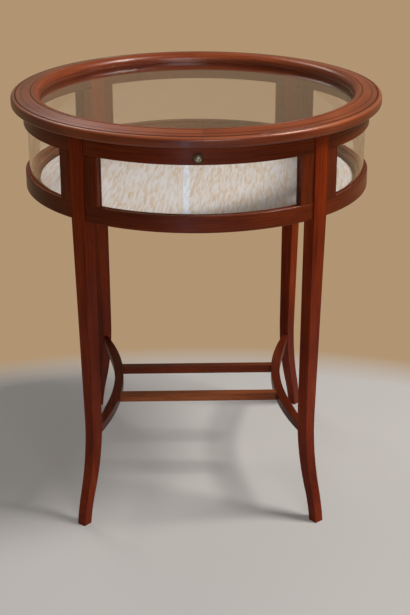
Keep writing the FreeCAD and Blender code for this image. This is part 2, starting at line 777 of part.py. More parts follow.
def make_bottom_board(screw_holes):
    body = new_body("board_body")
    profile = circle(sketch_on(body, "board_outline", "XY_Plane", "board_bottom"), "board_radius")
    pad(body, profile, "board_thickness")
    for leg, angle in LEGS.items():
        box_in(
            body,
            f"board_notch_{leg}",
            ("leg_inner_radius - soft_gap", "0 - leg_width / 2 - soft_gap", "board_bottom"),
            ("leg_depth", "leg_width + 2 * soft_gap", "board_thickness"),
            turn=angle,
            cut=True,
        )
    node(cut(body, screw_holes, "board_cut"), "bottom_board")
    node(set_out("board_screw_set", SCREWS["large"], BOARD_SPOTS, up=True), "board_screws")


def make_lining():
    """Thin padded panel covered with cloth: flat, with a soft rounded upper edge."""
    body = new_body("lining_body")
    flat = "lining_radius - lining_round"
    profile = outline(
        sketch_on(body, "lining_section", "XZ_Plane"),
        [
            ("0", "lining_bottom"),
            ("lining_radius", "lining_bottom"),
            Corner("lining_radius", "lining_top - lining_round", bulge=-1, centre_x=flat),
            (flat, "lining_top"),
            ("0", "lining_top"),
        ],
    )
    revolve(body, profile)
    node(body, "display_lining")


# ---------------------------------------------------------------- legs


def make_leg_blank(leg):
    """Sabre leg along +X before its mortises: shaped from the side, then tapered from the front."""
    body = new_body(f"leg_body_{leg}")
    side_view = outline(
        sketch_on(body, f"leg_side_{leg}", "XZ_Plane"),
        [
            ("leg_outer_radius", "case_top"),
            ("leg_outer_radius", "case_bottom"),
            Corner("knee_outer", "knee_height", bulge=-5, smooth=True),
            Corner("ankle_outer", "ankle_height", bulge=1, smooth=True),
            ("toe_outer", "0"),
            Corner("toe_inner", "0", bulge=-1),
            Corner("ankle_inner", "ankle_height", bulge=5, smooth=True),
            Corner("knee_inner", "knee_height", smooth=True),
            ("leg_inner_radius", "case_bottom"),
            ("leg_inner_radius", "case_top"),
        ],
    )
    pad(body, side_view, "leg_width", both_ways=True)
    for side, sign in (("a", ""), ("b", "-")):
        waste = outline(
            sketch_on(body, f"leg_taper_{leg}_{side}", "YZ_Plane"),
            [
                (f"{sign}leg_width / 2", "case_bottom"),
                (f"{sign}knee_width / 2", "knee_height"),
                (f"{sign}foot_width / 2", "0"),
                (f"{sign}leg_width", "0"),
                (f"{sign}leg_width", "case_bottom"),
            ],
        )
        pocket = body.newObject("PartDesign::Pocket", waste.Name + "_cut")
        pocket.Profile = waste
        bind(pocket, Length="4 * rail_outer_radius")
        pocket.Midplane = True
    return body


def cut_leg_mortises(body, outward):
    """Mortises for both rails on each side of a leg and for its stretcher in front of them."""
    name = body.Name
    for side, start in (("a", "0 - leg_width / 2"), ("b", "leg_width / 2 - tenon_length - tenon_fit")):
        for rail in ("upper", "lower"):
            box_in(
                body,
                f"{name}_{rail}_mortise_{side}",
                ("tenon_radius - tenon_fit", start, f"{rail}_tenon_bottom - tenon_fit"),
                (
                    "tenon_thickness + 2 * tenon_fit",
                    "tenon_length + tenon_fit",
                    f"{rail}_tenon_height + 2 * tenon_fit",
                ),
                cut=True,
            )
    box_in(
        body,
        name + "_stretcher_mortise",
        (
            "leg_tenon_end - 2 * leg_tenon_reach",
            f"{outward}bow_end_middle - stretcher_tenon / 2 - tenon_fit",
            "stretcher_tenon_bottom - tenon_fit",
        ),
        (
            "2 * leg_tenon_reach + tenon_fit",
            "stretcher_tenon + 2 * tenon_fit",
            "stretcher_tenon + 2 * tenon_fit",
        ),
        cut=True,
    )


def make_legs():
    """Finished legs, and plain ones that the stretchers are scribed to."""
    blanks = {}
    for leg, angle in LEGS.items():
        blanks[leg] = put(make_leg_blank(leg + "_blank"), turn=angle)
        body = make_leg_blank(leg)
        cut_leg_mortises(body, OUTWARD[leg])
        node(put(body, turn=angle), f"leg_{leg}")
    return blanks


# ---------------------------------------------------------------- stretchers

BOWS = {"left": "0", "right": "180"}
BARS = {"front": "-", "back": ""}


def make_bow_blank(side):
    """Bow-shaped stretcher for the left side, narrower towards the legs, with ends that run on into them."""
    body = new_body(f"bow_body_{side}")
    in_x, in_y = "leg_tenon_reach * cos(leg_angle)", "leg_tenon_reach * sin(leg_angle)"
    plan = outline(
        sketch_on(body, f"bow_plan_{side}", "XY_Plane", "stretcher_bottom"),
        [
            Corner("0 - convex_end_x", "0 - convex_end_y", bulge=-39, centre_x="0 - convex_centre"),
            ("0 - convex_end_x", "convex_end_y"),
            (f"0 - convex_end_x - {in_x}", f"convex_end_y + {in_y}"),
            (f"0 - concave_end_x - {in_x}", f"concave_end_y + {in_y}"),
            ("0 - concave_end_x", "concave_end_y"),
            Corner("0 - bend_end_x", "bend_end_y", bulge=10, centre_x="0 - concave_centre"),
            ("0 - bend_end_x", "0 - bend_end_y"),
            ("0 - concave_end_x", "0 - concave_end_y"),
            (f"0 - concave_end_x - {in_x}", f"0 - concave_end_y - {in_y}"),
            (f"0 - convex_end_x - {in_x}", f"0 - convex_end_y - {in_y}"),
        ],
    )
    pad(body, plan, "stretcher_height")
    return put(body, turn=BOWS[side])


def bar_tenons(name, room):
    """Tenons through both ends of each straight stretcher, with room to cut their mortises."""
    return [
        free_box(
            f"{name}_{end}",
            (
                f"0 - bar_tenon_end - {room}",
                f"{sign}bar_line - stretcher_tenon / 2 - {room}",
                f"stretcher_tenon_bottom - {room}",
            ),
            (
                f"2 * (bar_tenon_end + {room})",
                f"stretcher_tenon + 2 * {room}",
                f"stretcher_tenon + 2 * {room}",
            ),
        )
        for end, sign in BARS.items()
    ]


def make_stretchers(leg_blanks):
    blanks = {side: make_bow_blank(side) for side in BOWS}
    mortises = compound("bar_mortises", bar_tenons("bar_mortise", "tenon_fit"))
    for side, blank in blanks.items():
        beside = [leg for leg in LEGS if leg.endswith(side)]
        waste = compound(f"bow_waste_{side}", [leg_blanks[leg] for leg in beside])
        scribed = cut(blank, waste, f"bow_scribed_{side}")
        tenons = [
            free_box(
                f"bow_tenon_{leg}",
                (
                    "knee_inner - leg_tenon_root",
                    f"{OUTWARD[leg]}bow_end_middle - stretcher_tenon / 2",
                    "stretcher_tenon_bottom",
                ),
                ("leg_tenon_reach + leg_tenon_root", "stretcher_tenon", "stretcher_tenon"),
                turn=LEGS[leg],
            )
            for leg in beside
        ]
        joined = fuse([scribed] + tenons, f"bow_joined_{side}")
        node(cut(joined, mortises, f"bow_cut_{side}"), f"curved_stretcher_{side}")
    both_bows = compound("both_bows", list(blanks.values()))
    for (end, sign), tenon in zip(BARS.items(), bar_tenons("bar_tenon", "0")):
        bar = free_box(
            f"bar_{end}",
            ("0 - bar_tenon_end", f"{sign}bar_line - cross_bar_width / 2", "stretcher_bottom"),
            ("2 * bar_tenon_end", "cross_bar_width", "stretcher_height"),
        )
        scribed = cut(bar, both_bows, f"bar_scribed_{end}")
        node(fuse([scribed, tenon], f"bar_joined_{end}"), f"straight_stretcher_{end}")


# ---------------------------------------------------------------- lid

LID_SEGMENTS = {"back_right": 45, "back_left": 135, "front_left": 225, "front_right": 315}
LID_SWEEP = 90


def make_lid_segment(name, middle):
    """Quarter of the lid's frame: it falls outward from a crest, with two grooves and rounded edges."""
    foot = "lid_radius - nosing_foot"
    bead = "lid_opening_radius + inner_bead_width"
    body = arc_body(
        f"lid_quarter_{name}",
        [
            ("lid_rebate_radius", "lid_bottom"),
            Corner(foot, "lid_bottom", bulge=-1, centre_x=foot),
            ("lid_radius", "lid_bottom + nosing_foot"),
            Corner("lid_radius", "nosing_top - nosing_round", bulge=-2, centre_x="nosing_crown"),
            ("nosing_crown", "nosing_top"),
            ("inner_quirk_radius", "table_height"),
            Corner(bead, "table_height", bulge=-2, centre_x=bead),
            ("lid_opening_radius", "table_height - inner_bead_drop"),
            ("lid_opening_radius", "lid_glass_top"),
            ("lid_rebate_radius", "lid_glass_top"),
        ],
        str(LID_SWEEP / 2),
        f"{middle} + lid_joint_turn",
    )
    for quirk in ("inner", "outer"):
        groove = outline(
            sketch_on(body, f"lid_{quirk}_quirk_{name}", "XZ_Plane"),
            [
                (f"{quirk}_quirk_radius - quirk_width / 2", f"{quirk}_quirk_top + quirk_depth"),
                (f"{quirk}_quirk_radius - quirk_width / 2", f"{quirk}_quirk_top"),
                (f"{quirk}_quirk_radius", f"{quirk}_quirk_top - quirk_depth"),
                (f"{quirk}_quirk_radius + quirk_width / 2", f"{quirk}_quirk_top"),
                (f"{quirk}_quirk_radius + quirk_width / 2", f"{quirk}_quirk_top + quirk_depth"),
            ],
        )
        revolve(body, groove, str(LID_SWEEP), both_ways=True, groove=True)
    for end, turn in (("first", f"-{LID_SWEEP / 2}"), ("last", f"{LID_SWEEP / 2}")):
        box_in(
            body,
            f"spline_slot_{name}_{end}",
            (
                "spline_inner_radius - tenon_fit",
                "0 - spline_length / 2 - tenon_fit",
                "spline_bottom - tenon_fit",
            ),
            (
                "spline_width + 2 * tenon_fit",
                "spline_length + 2 * tenon_fit",
                "spline_thickness + 2 * tenon_fit",
            ),
            turn=turn,
            cut=True,
        )
    return body


def lid_hinge_cuts():
    """Recesses for the lid's hinge leaves, their screw holes, and a trough over the knuckles."""
    tools = hinge_cuts("lid_hinges", "lid_bottom", LID_HINGE_SPOTS, up=True)
    for side, sign in HINGES.items():
        tools.append(
            free_cylinder(
                f"knuckle_trough_{side}",
                (f"{sign}hinge_offset - hinge_length / 2 - knuckle_gap", "hinge_axis_y", "hinge_axis_z"),
                "knuckle_radius + knuckle_gap",
                "hinge_length + 2 * knuckle_gap",
                turn=QUARTER_TURN,
                axis=Vector(0, 1, 0),
            )
        )
    return compound("lid_hinge_cuts", tools)


def keeper_cuts():
    recess = free_box(
        "keeper_recess",
        (
            "keeper_left - tenon_fit",
            "0 - keeper_inner_face - keeper_reach - tenon_fit",
            "lid_bottom",
        ),
        (
            "keeper_width + 2 * tenon_fit",
            "keeper_reach + tenon_fit + keeper_thickness",
            "keeper_thickness",
        ),
    )
    return compound(
        "keeper_cuts", [recess, set_out("keeper_screw_holes", HOLES["small"], KEEPER_SPOTS, up=True)]
    )


def make_lid():
    back_cuts = lid_hinge_cuts()
    for name, middle in LID_SEGMENTS.items():
        segment = make_lid_segment(name, middle)
        if name.startswith("back"):
            segment = cut(segment, back_cuts, f"lid_quarter_{name}_cut")
        if name == "front_right":
            segment = cut(segment, keeper_cuts(), f"lid_quarter_{name}_cut")
        node(segment, f"lid_segment_{name}")
    splines = [
        free_box(
            f"spline_{number}",
            ("spline_inner_radius", "0 - spline_length / 2", "spline_bottom"),
            ("spline_width", "spline_length", "spline_thickness"),
            turn=f"{number} * {LID_SWEEP} + lid_joint_turn",
        )
        for number in range(len(LID_SEGMENTS))
    ]
    node(compound("spline_set", splines), "lid_splines")
    glass = new_body("lid_glass_body")
    disc = circle(sketch_on(glass, "lid_glass_outline", "XY_Plane", "lid_glass_bottom"), "lid_glass_radius")
    pad(glass, disc, "lid_glass_thickness")
    node(glass, "lid_glass")
    retainer = new_body("lid_retainer_body")
    section = sketch_on(retainer, "lid_retainer_section", "XZ_Plane")
    rectangle(
        section,
        "lid_opening_radius - retainer_lap",
        "lid_bottom",
        "lid_rebate_radius - soft_gap",
        "lid_glass_bottom - soft_gap",
    )
    revolve(retainer, section)
    node(retainer, "lid_glass_retainer")


# ---------------------------------------------------------------- hinges


def make_leaf(name, sign, z, knuckles, holes):
    """Hinge leaf: a plate at height z with the numbered knuckles of five along its edge."""
    body = new_body(name)
    start = f"{sign}hinge_offset - hinge_length / 2"
    box_in(
        body,
        name + "_plate",
        (start, "leaf_far_edge", z),
        ("hinge_length", "leaf_reach - knuckle_radius - knuckle_gap", "leaf_thickness"),
    )
    for number in knuckles:
        x = f"{start} + {number} * (knuckle_length + knuckle_gap)"
        box_in(
            body,
            f"{name}_tab_{number}",
            (x, "leaf_far_edge", z),
            ("knuckle_length", "leaf_reach", "leaf_thickness"),
        )
        cylinder_in(
            body,
            f"{name}_knuckle_{number}",
            (x, "hinge_axis_y", "hinge_axis_z"),
            "knuckle_radius",
            "knuckle_length",
            turn=QUARTER_TURN,
            axis=Vector(0, 1, 0),
        )
    cylinder_in(
        body,
        name + "_bore",
        (start, "hinge_axis_y", "hinge_axis_z"),
        "hinge_pin_radius + pin_fit",
        "hinge_length",
        turn=QUARTER_TURN,
        axis=Vector(0, 1, 0),
        cut=True,
    )
    return cut(body, holes, name + "_drilled")


def make_hinges():
    case_holes = set_out("case_leaf_holes", HOLES["small"], CASE_HINGE_SPOTS)
    lid_holes = set_out("lid_leaf_holes", HOLES["small"], LID_HINGE_SPOTS, up=True)
    for side, sign in HINGES.items():
        case_leaf = make_leaf(
            f"case_leaf_{side}", sign, "case_top - leaf_thickness", (0, 2, 4), case_holes
        )
        lid_leaf = make_leaf(f"lid_leaf_{side}", sign, "lid_bottom", (1, 3), lid_holes)
        node(case_leaf, f"hinge_leaf_case_{side}")
        node(lid_leaf, f"hinge_leaf_lid_{side}")
        pin = free_cylinder(
            f"pin_{side}",
            (f"{sign}hinge_offset - hinge_length / 2", "hinge_axis_y", "hinge_axis_z"),
            "hinge_pin_radius",
            "hinge_length",
            turn=QUARTER_TURN,
            axis=Vector(0, 1, 0),
        )
        node(pin, f"hinge_pin_{side}")
    node(set_out("case_screw_set", SCREWS["small"], CASE_HINGE_SPOTS), "hinge_screws_case")
    node(set_out("lid_screw_set", SCREWS["small"], LID_HINGE_SPOTS, up=True), "hinge_screws_lid")


# ---------------------------------------------------------------- lock and keeper


def lock_body(name):
    """Body whose own Z axis is the lock's axis and points out through the front of the rail."""
    return put(new_body(name), "lock_offset", "0", "lock_height", turn=QUARTER_TURN, axis=ALONG_X)


def make_lock():
    housing = lock_body("housing_body")
    bore = "lock_shaft_radius + pin_fit"
    profile = outline(
        sketch_on(housing, "housing_section", "XZ_Plane"),
        [
            (bore, "lock_sleeve_end"),
            ("lock_sleeve_radius", "lock_sleeve_end"),
            ("lock_sleeve_radius", "rail_outer_radius"),
            ("lock_flange_radius", "rail_outer_radius"),
            ("lock_flange_radius", "lock_flange_face - flange_round"),
            ("lock_flange_radius - flange_round", "lock_flange_face"),
            (bore, "lock_flange_face"),
        ],
    )
    revolve(housing, profile)
    node(housing, "lock_housing")

    nut = lock_body("nut_body")
    hexagon = sketch_on(nut, "nut_outline", "XY_Plane", "lock_nut_end")
    outline(
        hexagon,
        [(f"lock_nut_radius * cos({60 * step})", f"lock_nut_radius * sin({60 * step})") for step in range(6)],
    )
    circle(hexagon, "lock_sleeve_radius + screw_fit")
    pad(nut, hexagon, "lock_nut_thickness")
    node(nut, "lock_nut")

    plug = lock_body("plug_body")
    profile = outline(
        sketch_on(plug, "plug_section", "XZ_Plane"),
        [
            ("0", "lock_shaft_end"),
            ("lock_shaft_radius", "lock_shaft_end"),
            ("lock_shaft_radius", "lock_head_back"),
            ("lock_head_radius", "lock_head_back"),
            Corner("lock_head_radius", "lock_head_back + lock_head_rim", bulge=-1, centre_x="0"),
            ("0", "lock_head_top"),
        ],
    )
    revolve(plug, profile)
    box_in(
        plug,
        "key_slot",
        ("-key_slot_width / 2", "-key_slot_length / 2", "lock_head_top - key_slot_depth"),
        ("key_slot_width", "key_slot_length", "2 * key_slot_depth"),
        cut=True,
    )
    cylinder_in(
        plug,
        "plug_screw_hole",
        ("0", "0", "lock_shaft_end"),
        "cam_screw_shank + screw_fit",
        "cam_screw_length - cam_thickness + screw_fit",
        cut=True,
    )
    node(plug, "lock_plug")

    tongue = lock_body("tongue_body")
    tip = "cam_length - cam_width / 2"
    box_in(tongue, "tongue_bar", ("0 - cam_width / 2", "0", "cam_end"), ("cam_width", tip, "cam_thickness"))
    for end, y in (("boss", "0"), ("tip", tip)):
        cylinder_in(tongue, f"tongue_{end}", ("0", y, "cam_end"), "cam_width / 2", "cam_thickness")
    cylinder_in(
        tongue, "tongue_hole", ("0", "0", "cam_end"), "cam_screw_shank + screw_fit", "cam_thickness", cut=True
    )
    node(tongue, "lock_tongue")

    screw = lock_body("tongue_screw_body")
    profile = outline(
        sketch_on(screw, "tongue_screw_section", "XZ_Plane"),
        [
            ("0", "cam_end - cam_screw_height"),
            ("cam_screw_head", "cam_end - cam_screw_height"),
            ("cam_screw_head", "cam_end"),
            ("cam_screw_shank", "cam_end"),
            ("cam_screw_shank", "cam_end + cam_screw_length"),
            ("0", "cam_end + cam_screw_length"),
        ],
    )
    revolve(screw, profile)
    box_in(
        screw,
        "tongue_screw_slot",
        ("-cam_screw_head", "-slot_width / 2", "cam_end - cam_screw_height - slot_depth"),
        ("2 * cam_screw_head", "slot_width", "2 * slot_depth"),
        cut=True,
    )
    node(screw, "lock_tongue_screw")


def make_keeper():
    """Hook under the lid for the tongue: a plate let into the lid, a drop, and a lip under the tongue."""
    body = new_body("keeper_body")
    box_in(
        body,
        "keeper_plate",
        ("keeper_left", "0 - keeper_inner_face - keeper_reach", "lid_bottom"),
        ("keeper_width", "keeper_reach", "keeper_thickness"),
    )
    box_in(
        body,
        "keeper_drop",
        ("keeper_left", "0 - keeper_outer_face", "keeper_bottom"),
        ("keeper_width", "keeper_thickness", "lid_bottom + keeper_thickness - keeper_bottom"),
    )
    box_in(
        body,
        "keeper_lip",
        ("keeper_left", "0 - keeper_outer_face", "keeper_bottom"),
        ("keeper_width", "keeper_thickness + keeper_lip", "keeper_thickness"),
    )
    holes = set_out("keeper_plate_holes", HOLES["small"], KEEPER_SPOTS, up=True)
    node(cut(body, holes, "keeper_drilled"), "lid_keeper")
    node(set_out("keeper_screw_set", SCREWS["small"], KEEPER_SPOTS, up=True), "keeper_screws")


# ---------------------------------------------------------------- build, check and write


def check_and_write():
    DOC.recompute()
    failed = [item.Name for item in DOC.Objects if {"Invalid", "Error"} & set(item.State)]
    if failed:
        raise RuntimeError(f"These objects failed: {failed}")
    labels = [thing.Label for thing in NODES]
    if len(set(labels)) != len(labels):
        raise RuntimeError("Two sub-parts share a name")
    shapes = {thing.Label: Part.getShape(thing) for thing in NODES}
    for label, shape in shapes.items():
        if shape.isNull() or not shape.isValid() or not shape.Solids:
            raise RuntimeError(f"{label} has no valid solid")
    os.makedirs("parts", exist_ok=True)
    for label, shape in shapes.items():
        shape.exportStep(f"parts/{label}.step")
        print(f"{label:28s} solids {len(shape.Solids)}  volume {shape.Volume:12.1f} mm3")
    print(len(shapes), "nodes")


make_case()
make_stretchers(make_legs())
make_lid()
make_hinges()
make_lock()
make_keeper()
check_and_write()
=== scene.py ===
"""Looks of the round glazed collectors table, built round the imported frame. Everything is in metres."""

import math
import random

import bmesh
import bpy
from mathutils import Matrix, Vector, noise


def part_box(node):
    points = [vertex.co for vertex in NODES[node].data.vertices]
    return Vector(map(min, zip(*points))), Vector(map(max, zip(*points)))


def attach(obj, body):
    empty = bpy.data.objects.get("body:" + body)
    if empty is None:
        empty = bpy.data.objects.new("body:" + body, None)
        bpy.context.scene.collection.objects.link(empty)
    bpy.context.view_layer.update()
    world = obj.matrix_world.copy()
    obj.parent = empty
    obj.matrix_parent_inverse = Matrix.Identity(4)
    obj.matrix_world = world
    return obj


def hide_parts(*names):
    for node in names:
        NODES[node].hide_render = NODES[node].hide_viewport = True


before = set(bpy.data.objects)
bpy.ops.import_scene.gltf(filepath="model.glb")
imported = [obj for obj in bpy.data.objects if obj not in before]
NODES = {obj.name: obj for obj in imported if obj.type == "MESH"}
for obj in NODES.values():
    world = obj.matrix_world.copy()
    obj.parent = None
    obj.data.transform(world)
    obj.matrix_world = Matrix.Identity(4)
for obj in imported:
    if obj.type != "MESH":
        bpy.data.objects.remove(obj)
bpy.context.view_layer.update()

# ---------------------------------------------------------------- camera

IMAGE_HEIGHT = 615  # pixels
FOCAL_PIXELS = 1405.9
SENSOR = 36.0  # millimetres
CAMERA_PLACE = Vector((-0.0407, -2.447, 1.3138))
CAMERA_DOWN = math.radians(22.144)
CAMERA_RIGHT = math.radians(1.291)
CAMERA_ROLL = math.radians(-0.13)
CAMERA_REACH = 50


def place_in_scene(piece):
    bpy.context.scene.collection.objects.link(piece)


def make_camera():
    data = bpy.data.cameras.new("camera")
    data.sensor_fit = "VERTICAL"
    data.sensor_height = SENSOR
    data.lens = FOCAL_PIXELS / IMAGE_HEIGHT * SENSOR
    data.clip_end = CAMERA_REACH
    camera = bpy.data.objects.new("camera", data)
    camera.matrix_world = (
        Matrix.Translation(CAMERA_PLACE)
        @ Matrix.Rotation(-CAMERA_RIGHT, 4, "Z")
        @ Matrix.Rotation(math.pi / 2 - CAMERA_DOWN, 4, "X")
        @ Matrix.Rotation(CAMERA_ROLL, 4, "Z")
    )
    place_in_scene(camera)
    bpy.context.scene.camera = camera


# ---------------------------------------------------------------- node helpers


def srgb(code):
    """Linear colour of an sRGB hex code."""
    parts = [int(code[i : i + 2], 16) / 255 for i in (1, 3, 5)]
    return tuple(p / 12.92 if p <= 0.04045 else ((p + 0.055) / 1.055) ** 2.4 for p in parts) + (1.0,)


class Graph:
    """Short ways to add nodes to one node tree, which is cleared first."""

    def __init__(self, tree):
        self.tree = tree
        tree.nodes.clear()

    def add(self, kind, **settings):
        node = self.tree.nodes.new(kind)
        for key, value in settings.items():
            setattr(node, key, value)
        return node

    def link(self, source, target):
        self.tree.links.new(source, target)

    def feed(self, socket, value):
        """Links a socket to another one, or sets its constant."""
        if isinstance(value, bpy.types.NodeSocket):
            self.link(value, socket)
        else:
            socket.default_value = value

    def math(self, operation, a, b=0.0, c=0.0):
        node = self.add("ShaderNodeMath", operation=operation)
        for socket, value in zip(node.inputs, (a, b, c)):
            self.feed(socket, value)
        return node.outputs[0]

    def highest(self, values):
        values = list(values)
        while len(values) > 1:
            values.append(self.math("MAXIMUM", values.pop(0), values.pop(0)))
        return values[0]

    def distance(self, x, y):
        """Length of the flat vector x, y."""
        square = self.math("ADD", self.math("MULTIPLY", x, x), self.math("MULTIPLY", y, y))
        return self.math("POWER", square, 0.5)

    def combine(self, x, y, z):
        node = self.add("ShaderNodeCombineXYZ")
        for socket, value in zip(node.inputs, (x, y, z)):
            self.feed(socket, value)
        return node.outputs[0]

    def object_point(self, turn=0.0):
        """Point of the piece in the table's frame, turned by an angle about +Z, as x, y and z sockets."""
        where = self.add("ShaderNodeTexCoord").outputs["Object"]
        if turn:
            rotate = self.add("ShaderNodeVectorRotate", rotation_type="Z_AXIS")
            self.link(where, rotate.inputs["Vector"])
            rotate.inputs["Angle"].default_value = turn
            where = rotate.outputs[0]
        split = self.add("ShaderNodeSeparateXYZ")
        self.link(where, split.inputs[0])
        return split.outputs

    def noise(self, vector, scale=1.0, detail=2.0, rough=0.5, distortion=0.0):
        node = self.add("ShaderNodeTexNoise")
        self.link(vector, node.inputs["Vector"])
        node.inputs["Scale"].default_value = scale
        node.inputs["Detail"].default_value = detail
        node.inputs["Roughness"].default_value = rough
        node.inputs["Distortion"].default_value = distortion
        return node.outputs["Fac"]

    def ramp(self, factor, stops):
        """Colour ramp from (position, sRGB code) stops."""
        node = self.add("ShaderNodeValToRGB")
        self.link(factor, node.inputs[0])
        elements = node.color_ramp.elements
        while len(elements) < len(stops):
            elements.new(0.5)
        for element, (position, code) in zip(elements, stops):
            element.position = position
            element.color = srgb(code)
        return node.outputs[0]

    def fade(self, value, low, high, to_low=0.0, to_high=1.0):
        """Maps low..high to to_low..to_high, clamped."""
        node = self.add("ShaderNodeMapRange")
        for socket, number in zip(node.inputs, (value, low, high, to_low, to_high)):
            self.feed(socket, number)
        return node.outputs[0]

    def mix(self, factor, a, b):
        """Colour between a and b."""
        node = self.add("ShaderNodeMix", data_type="RGBA")
        self.feed(node.inputs[0], factor)
        self.feed(node.inputs[6], a)
        self.feed(node.inputs[7], b)
        return node.outputs[2]

    def bump(self, height, distance, strength, normal=None):
        node = self.add("ShaderNodeBump")
        self.link(height, node.inputs["Height"])
        node.inputs["Distance"].default_value = distance
        node.inputs["Strength"].default_value = strength
        if normal is not None:
            self.link(normal, node.inputs["Normal"])
        return node.outputs[0]

    def shader(self, kind, **values):
        """Shader node with its inputs set or linked by name."""
        node = self.add(kind)
        for name, value in values.items():
            self.feed(node.inputs[name.replace("_", " ")], value)
        return node.outputs[0]

    def mix_shaders(self, factor, a, b):
        node = self.add("ShaderNodeMixShader")
        for socket, source in zip(node.inputs, (factor, a, b)):
            self.link(source, socket)
        return node.outputs[0]

    def show(self, shader, output="ShaderNodeOutputMaterial"):
        self.link(shader, self.add(output).inputs["Surface"])


def start_material(name):
    """New material and the graph of its node tree."""
    material = bpy.data.materials.new(name)
    material.use_nodes = True
    return material, Graph(material.node_tree)


# ---------------------------------------------------------------- wood

MAHOGANY = {  # dark, middle and light tones of each part of the table
    "lid": ("#5e230f", "#80381b", "#9b512d"),
    "case": ("#3e1003", "#5b2008", "#732e0e"),
    "leg": ("#4c1102", "#6e2206", "#8a3610"),
    # bow: darker than the legs, the same wood, as painted shade where the case shades the bows
    "bow": ("#3a1006", "#551c0b", "#6c2c15"),
    # bar: lighter than the back bar, the same wood, as painted light on the front bar's front
    "bar": ("#5c2610", "#8a4824", "#a05c34"),
    "board": ("#5d3f29", "#86603f", "#a5805a"),
}
FRENCH_POLISH = {  # specular level and coat weight of each part
    "lid": (0.3, 0.16),
    "case": (0.15, 0.03),
    "leg": (0.1, 0.04),
    "bow": (0.06, 0.0),
    "bar": (0.15, 0.05),
    "board": (0.15, 0.0),
}
POLISH_ROUGHNESS = (0.27, 0.36)
COAT_ROUGHNESS = 0.14
POLISH_IOR = 1.5

GRAIN_REACH = 0.3  # radius at which an arc along the grain is measured
FIGURE = (5, 30, 0.0)  # each pattern: scale along the grain, scale across it, shift from the others
STREAKS = (9, 420, 3)
FIBRES = (45, 1700, 6)
MOTTLE = (12, 14, 9)
PORES = (60, 1500, 12)
FIGURE_SHARE, STREAK_SHARE, MOTTLE_SHARE = 0.42, 0.44, 0.14  # of the wood's tone
TONE_STOPS = (0.34, 0.5, 0.68)  # where the dark, middle and light tones stand
PORE_LIMITS = (0.6, 0.7)  # of the pattern, between which a pore sets in
PORE_DEPTH = 0.55
FIBRE_RELIEF = 0.5
GRAIN_RELIEF = 0.00008
GRAIN_BUMP = 0.5

ARRIS_REACH = 0.0012  # how far the rounded arrises, worn and with a painted highlight, go in from an edge
ARRIS_TURN = (0.985, 0.9)  # cosine of the softened normal's turn where the worn, painted-highlight arris begins and where it is full
ARRIS_WEAR_AND_HIGHLIGHT = 0.55

LID_RINGS = (  # radius, half width and depth of the painted shade lines round the lid: in its two quirk grooves and at a break of slope
    (0.292, 0.0016, 0.55),
    (0.3085, 0.0019, 0.62),
    (0.3188, 0.0022, 0.8),
)
RING_CORE = 0.4  # share of a ring's half width that has its full depth
LID_JOINT = math.radians(45)
LID_JOINT_TURN = math.radians(0.8)
JOINT_HALF = 0.0007  # radians
JOINT_DEPTH = 0.6
LID_SIDE = (0.7285, 0.7315)  # heights between which the painted shade on the lid's side fades out
LID_SIDE_DEPTH = 0.4
CROWN_RADII = (0.3205, 0.323)  # radii, then heights, between which the painted highlight on the nosing's crown sets in
CROWN_HEIGHTS = (0.731, 0.733)
CROWN_HIGHLIGHT = 0.26
CROWN_HIGHLIGHT_TONE = "#b4714e"
# painted shade in the lid's grooves and on its side, and grime in its joints
SHADE_AND_GRIME_TONE = "#2c0d06"

SEED_REACH = 50
seeds = random.Random(7)


def worn_and_highlit_edge(graph):
    """Softened surface normal and a 0 to 1 mask along the arrises, which are worn and get a painted
    highlight.
    """
    soft = graph.add("ShaderNodeBevel", samples=4)
    soft.inputs["Radius"].default_value = ARRIS_REACH
    facing = graph.add("ShaderNodeVectorMath", operation="DOT_PRODUCT")
    graph.link(soft.outputs[0], facing.inputs[0])
    graph.link(graph.add("ShaderNodeNewGeometry").outputs["Normal"], facing.inputs[1])
    return soft.outputs[0], graph.fade(facing.outputs["Value"], *ARRIS_TURN)


def lid_grime_and_painted_light(graph, radius, angle, height):
    """Two 0 to 1 masks: painted shade in the lid's quirk grooves, at a break of slope and on its side, with
    grime in its joints; and a painted highlight on the nosing's crown.
    """
    shade_and_grime_parts = []
    for ring, half, depth in LID_RINGS:
        off = graph.math("ABSOLUTE", graph.math("SUBTRACT", radius, ring))
        shade_and_grime_parts.append(graph.fade(off, half * RING_CORE, half, depth, 0.0))
    off_middle = graph.math("ABSOLUTE", graph.math("SUBTRACT", angle, LID_JOINT_TURN))
    from_joint = graph.math("SUBTRACT", LID_JOINT, off_middle)
    shade_and_grime_parts.append(graph.fade(from_joint, JOINT_HALF, 2 * JOINT_HALF, JOINT_DEPTH, 0.0))
    shade_and_grime_parts.append(graph.fade(height, *LID_SIDE, LID_SIDE_DEPTH, 0.0))
    outside = graph.fade(radius, *CROWN_RADII, 0.0, CROWN_HIGHLIGHT)
    return graph.highest(shade_and_grime_parts), graph.math("MULTIPLY", outside, graph.fade(height, *CROWN_HEIGHTS))


